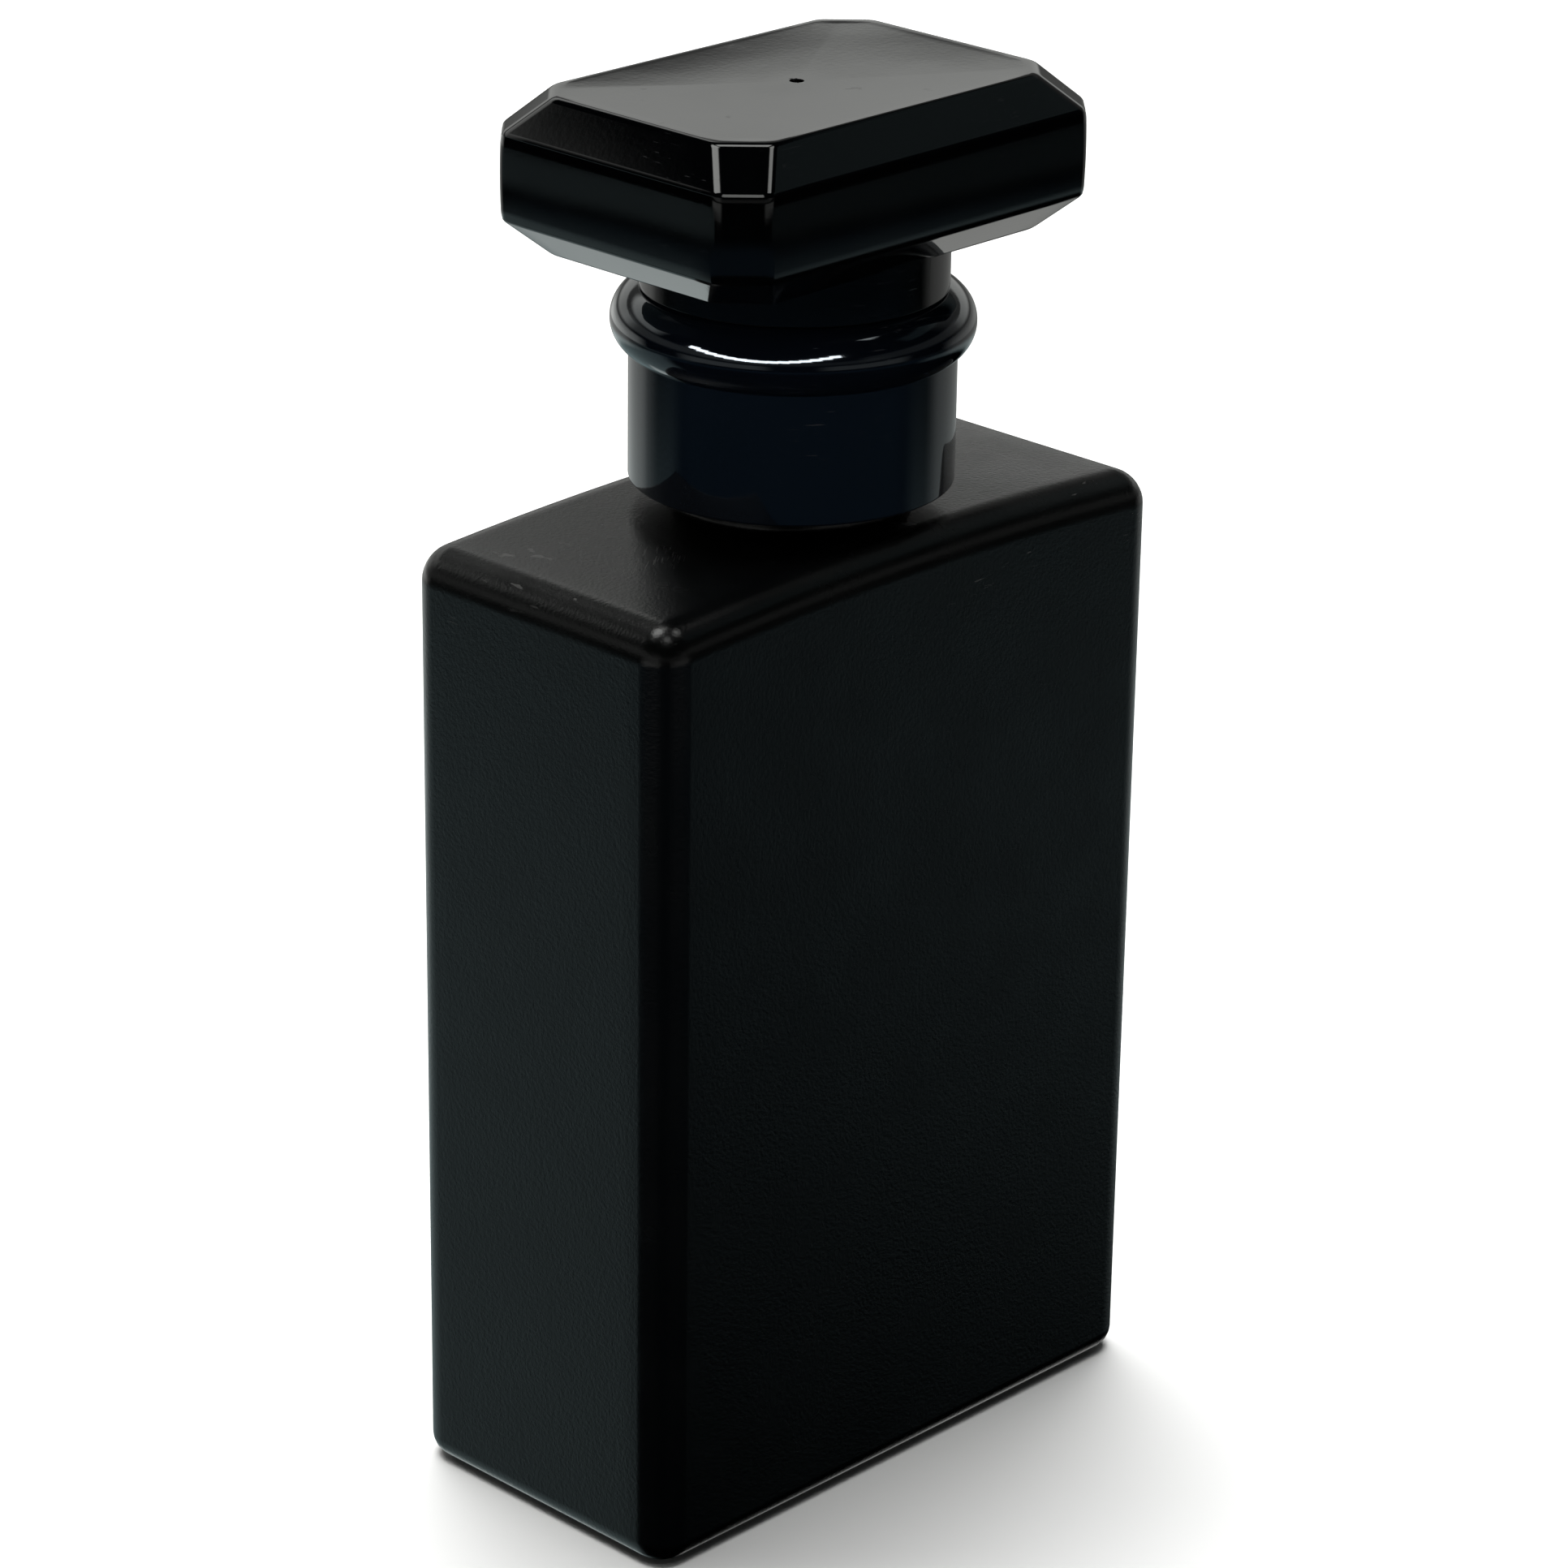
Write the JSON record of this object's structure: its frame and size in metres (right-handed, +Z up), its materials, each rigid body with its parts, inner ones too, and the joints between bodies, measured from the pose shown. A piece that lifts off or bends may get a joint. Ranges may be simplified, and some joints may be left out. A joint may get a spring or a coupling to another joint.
{
  "type": "aftershave bottle",
  "caption": "Flat rectangular black glass aftershave bottle with a screw-on spray pump, a beaded glossy collar and a bevelled glossy cap.",
  "frame": {"origin": "centre of the bottle's base, on the surface it stands on", "axes": "+Z up along the neck, pump and cap axis; +X along the wide side of the bottle; +Y through its thickness, -Y being the front panel the nozzle faces"},
  "size_m": [0.045, 0.0232, 0.0921],
  "materials": {
    "coated_glass": "satin black coating over clear glass, not see-through",
    "cap_gloss": "glossy black thick moulding",
    "liner_plastic": "plain black polypropylene",
    "collar_gloss": "glossy black with a faint blue sheen",
    "ferrule_plastic": "plain black polypropylene",
    "button_gloss": "glossy black",
    "insert_plastic": "satin black",
    "pump_plastic": "natural milky polypropylene",
    "stem_plastic": "natural milky acetal",
    "piston_plastic": "soft white polyethylene",
    "tube_plastic": "translucent polyethylene tube",
    "gasket_rubber": "grey elastomer",
    "spring_steel": "drawn stainless wire",
    "ball_steel": "polished stainless ball"
  },
  "bodies": {
    "bottle": {"glass_bottle": "coated_glass"},
    "pump_insert": {"neck_gasket": "gasket_rubber", "pump_housing": "pump_plastic", "pump_closure": "pump_plastic", "stem_gasket": "gasket_rubber", "inlet_ball": "ball_steel", "dip_tube": "tube_plastic", "main_spring": "spring_steel"},
    "collar_unit": {"screw_ferrule": "ferrule_plastic", "collar": "collar_gloss"},
    "stem_unit": {"stem": "stem_plastic", "piston": "piston_plastic", "piston_seat": "stem_plastic"},
    "actuator": {"actuator_button": "button_gloss", "nozzle_insert": "insert_plastic"},
    "cap_inner": {"cap_liner": "liner_plastic"},
    "cap_outer": {"cap_shell": "cap_gloss"}
  },
  "joints": [
    {"name": "pump_lift", "type": "slide", "parent": "bottle", "child": "pump_insert", "axis": [0, 0, 1], "range_m": [0, 0.00476]},
    {"name": "collar_unscrew", "type": "hinge", "parent": "pump_insert", "child": "collar_unit", "pos_m": [0, 0, 0.0775], "axis": [0, 0, 1], "range_deg": [0, 540]},
    {"name": "actuator_press", "type": "slide", "parent": "pump_insert", "child": "stem_unit", "axis": [0, 0, -1], "range_m": [0, 0.0042], "stiffness_N_per_m": 2000, "springref_m": -0.002, "deforming": ["main_spring"]},
    {"name": "actuator_turn", "type": "hinge", "parent": "stem_unit", "child": "actuator", "pos_m": [0, 0, 0.0844], "axis": [0, 0, 1], "continuous": true},
    {"name": "cap_lift", "type": "slide", "parent": "collar_unit", "child": "cap_inner", "axis": [0, 0, 1], "range_m": [0, 0.025]},
    {"name": "cap_turn", "type": "hinge", "parent": "cap_inner", "child": "cap_outer", "pos_m": [0, 0, 0.0892], "axis": [0, 0, 1], "continuous": true}
  ],
  "couplings": [
    {"joint": "collar_unscrew", "follows": "pump_lift", "rad_per_m": 1979}
  ]
}
